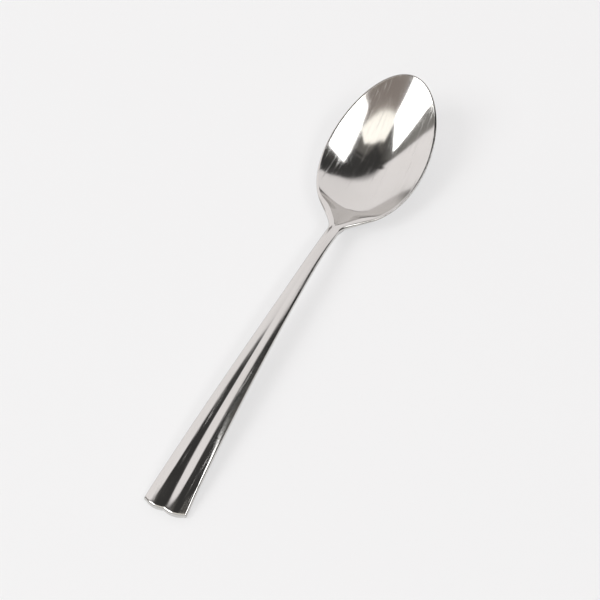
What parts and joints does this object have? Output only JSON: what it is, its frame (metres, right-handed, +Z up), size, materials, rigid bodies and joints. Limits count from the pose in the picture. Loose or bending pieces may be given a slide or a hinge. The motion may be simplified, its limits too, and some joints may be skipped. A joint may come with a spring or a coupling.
{
  "type": "tablespoon",
  "caption": "Tablespoon of polished stainless steel with an egg-shaped bowl and an arched, flared handle with reeds, for serving and eating.",
  "frame": {"origin": "on the table under the middle of the spoon's length and width, with the spoon lying as in the picture, bowl open upwards", "axes": "+X across the spoon, to the right seen from the handle's end; +Y from the handle's end to the tip of the bowl; +Z up from the table"},
  "size_m": [0.0408, 0.2046, 0.0238],
  "materials": {
    "polished_steel": "mirror-polished stainless steel with fine hairline scratches from use"
  },
  "bodies": {
    "root": {"handle": "polished_steel", "bowl": "polished_steel"}
  },
  "joints": []
}
